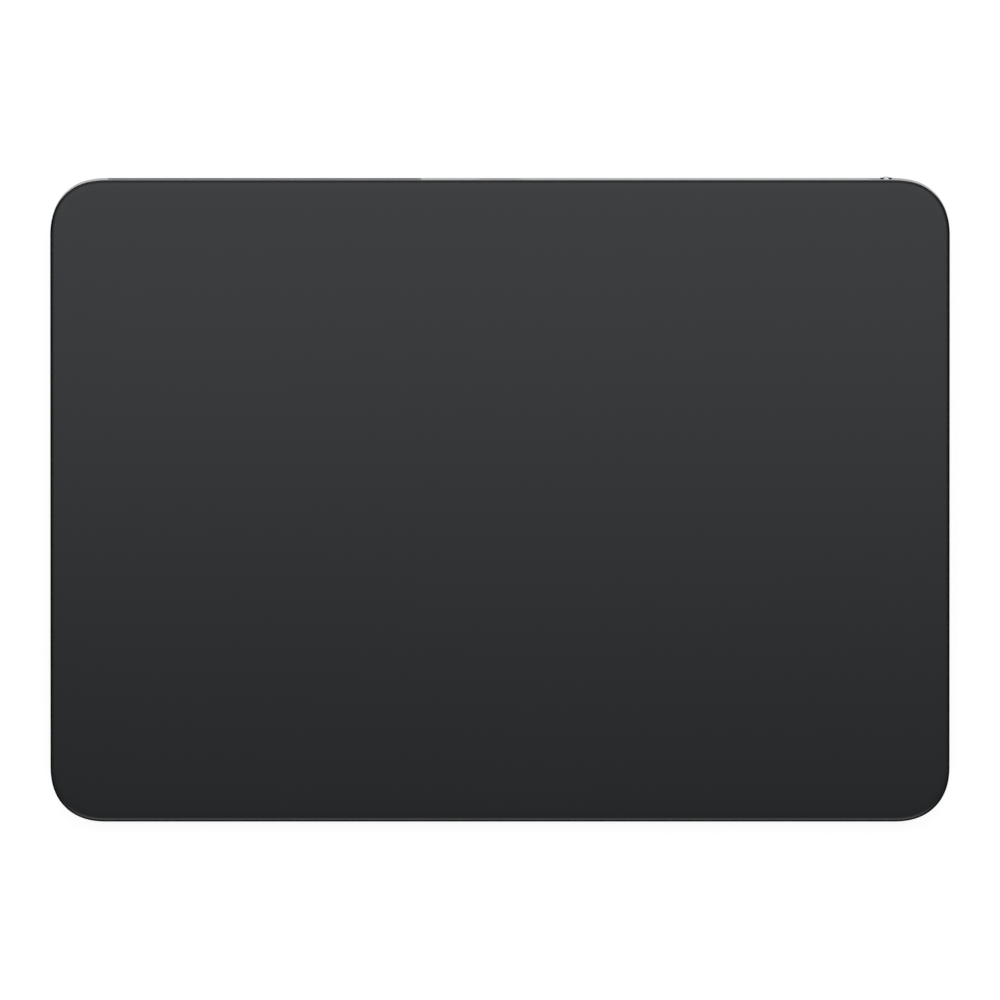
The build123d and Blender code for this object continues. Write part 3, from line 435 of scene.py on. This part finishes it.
def makeSwitchKnob(size):
    part = nodes["switch_knob"]
    knob = part.copy()
    knob.data = part.data.copy()
    knob.name = "knob_with_painted_shade"
    knob.parent = None
    bpy.context.scene.collection.objects.link(knob)
    bpy.context.view_layer.objects.active = knob
    knob.select_set(True)
    bpy.ops.mesh.customdata_custom_splitnormals_clear()
    bpy.ops.object.mode_set(mode="EDIT")
    bpy.ops.mesh.select_all(action="SELECT")
    bpy.ops.mesh.remove_doubles(threshold=size["weld"] * mm)
    bpy.ops.object.mode_set(mode="OBJECT")
    sides = [v.co.x for v in knob.data.vertices]
    middle = (min(sides) + max(sides)) / 2

    def isBeside(place):
        return abs(place.x - middle) > size["ribHalf"] * mm

    faceAt = max(v.co.y for v in knob.data.vertices if isBeside(v.co))
    scoopsFrom = faceAt - size["scoopReach"] * mm
    bpy.ops.object.mode_set(mode="EDIT")
    selectWhere("VERT", lambda v, mesh: isBeside(v.co) and v.co.y > scoopsFrom)
    bpy.ops.transform.resize(
        value=(1, size["scoopShare"], 1), center_override=(middle, faceAt, 0),
    )
    bpy.ops.object.mode_set(mode="OBJECT")
    bpy.ops.object.shade_smooth_by_angle(angle=smoothAngle)
    knob.data.materials.clear()
    knob.data.materials.append(finishes["milledKnobAluminium"])
    knob.data.materials.append(finishes["scoopPaintedShade"])
    # the faces beside the rib get the dark scoop finish, which is painted shade
    for face in knob.data.polygons:
        face.material_index = int(isBeside(face.center))
    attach(knob, "power_switch")
    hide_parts("switch_knob")
    knob.select_set(False)
    print("switch knob made, faces:", len(knob.data.polygons))


makeSwitchKnob(switchKnob)

# Stage: a pale floor that shows white and keeps a faint shadow, and a plain sky
stageLook = {
    "floorSize": 24.0,
    "bounceColour": "e6e6e6",
    "shownColour": "7a7a7a",
    "shownGlow": 0.86,
    "skyStrength": 0.26,
}


def makeFloor(look):
    bpy.ops.mesh.primitive_plane_add(size=look["floorSize"], location=(0, 0, 0))
    floor = bpy.context.object
    floor.name = "studio_floor"
    material = bpy.data.materials.new("paleFloor")
    material.use_nodes = True
    tree = material.node_tree
    tree.nodes.clear()
    output = addNode(tree, "ShaderNodeOutputMaterial")
    ray = addNode(tree, "ShaderNodeLightPath")
    shownOrGlossy = addNode(
        tree, "ShaderNodeMath", operation="MAXIMUM",
        links={0: ray.outputs["Is Camera Ray"], 1: ray.outputs["Is Glossy Ray"]},
    )
    seen = addNode(
        tree, "ShaderNodeMath", operation="MAXIMUM",
        links={0: shownOrGlossy.outputs["Value"], 1: ray.outputs["Is Transmission Ray"]},
    )
    bounceColour, shownColour = hexColour(look["bounceColour"]), hexColour(look["shownColour"])
    bounce = addNode(tree, "ShaderNodeBsdfDiffuse", values={"Color": bounceColour})
    shade = addNode(tree, "ShaderNodeBsdfDiffuse", values={"Color": shownColour})
    glow = addNode(tree, "ShaderNodeEmission", values={"Strength": look["shownGlow"]})
    shown = addNode(
        tree, "ShaderNodeAddShader",
        links={0: shade.outputs["BSDF"], 1: glow.outputs["Emission"]},
    )
    both = addNode(
        tree, "ShaderNodeMixShader",
        links={0: seen.outputs["Value"], 1: bounce.outputs["BSDF"], 2: shown.outputs["Shader"]},
    )
    tree.links.new(both.outputs["Shader"], output.inputs["Surface"])
    floor.data.materials.append(material)
    floor.select_set(False)


def makeSky(look):
    world = bpy.data.worlds.new("plainSky")
    bpy.context.scene.world = world
    world.use_nodes = True
    background = world.node_tree.nodes["Background"]
    background.inputs["Color"].default_value = hexColour("ffffff")
    background.inputs["Strength"].default_value = look["skyStrength"]


makeFloor(stageLook)
makeSky(stageLook)

# Softboxes, each with its middle, what it faces, its size and its brightness
softboxes = {
    "overheadBox": {
        "place": (0, 216, 300), "aim": (0, 216, 0), "size": (700, 492), "radiance": 1.6,
    },
    "frontStrip": {
        "place": (0, -432, 268), "aim": (0, -40, 0), "size": (620, 120), "radiance": 4.2,
    },
}


def makeSoftbox(name, box):
    width, depth = (side * mm for side in box["size"])
    lamp = bpy.data.lights.new(name, "AREA")
    lamp.shape = "RECTANGLE"
    lamp.size, lamp.size_y = width, depth
    lamp.energy = box["radiance"] * width * depth * math.pi
    holder = bpy.data.objects.new(name, lamp)
    bpy.context.scene.collection.objects.link(holder)
    holder.location = Vector(box["place"]) * mm
    toAim = Vector(box["aim"]) - Vector(box["place"])
    holder.rotation_euler = toAim.to_track_quat("-Z", "Y").to_euler()
    holder.visible_camera = False


for name, box in softboxes.items():
    makeSoftbox(name, box)

# Camera: straight above through a long lens, as flat as the photograph
cameraLook = {
    "lens": 1500.0,
    "sensor": 36.0,
    "frameWidth": 177.89,
    "planeHeight": 7.9,
    "aimY": -0.045,
}


def makeCamera(look):
    camera = bpy.data.cameras.new("overhead")
    camera.lens = look["lens"]
    camera.sensor_width = look["sensor"]
    holder = bpy.data.objects.new("overhead", camera)
    bpy.context.scene.collection.objects.link(holder)
    distance = look["frameWidth"] * look["lens"] / look["sensor"]
    holder.location = Vector((0, look["aimY"], look["planeHeight"] + distance)) * mm
    bpy.context.scene.camera = holder


makeCamera(cameraLook)
bpy.context.scene.view_settings.view_transform = "Standard"
print("stage, lights and camera set")
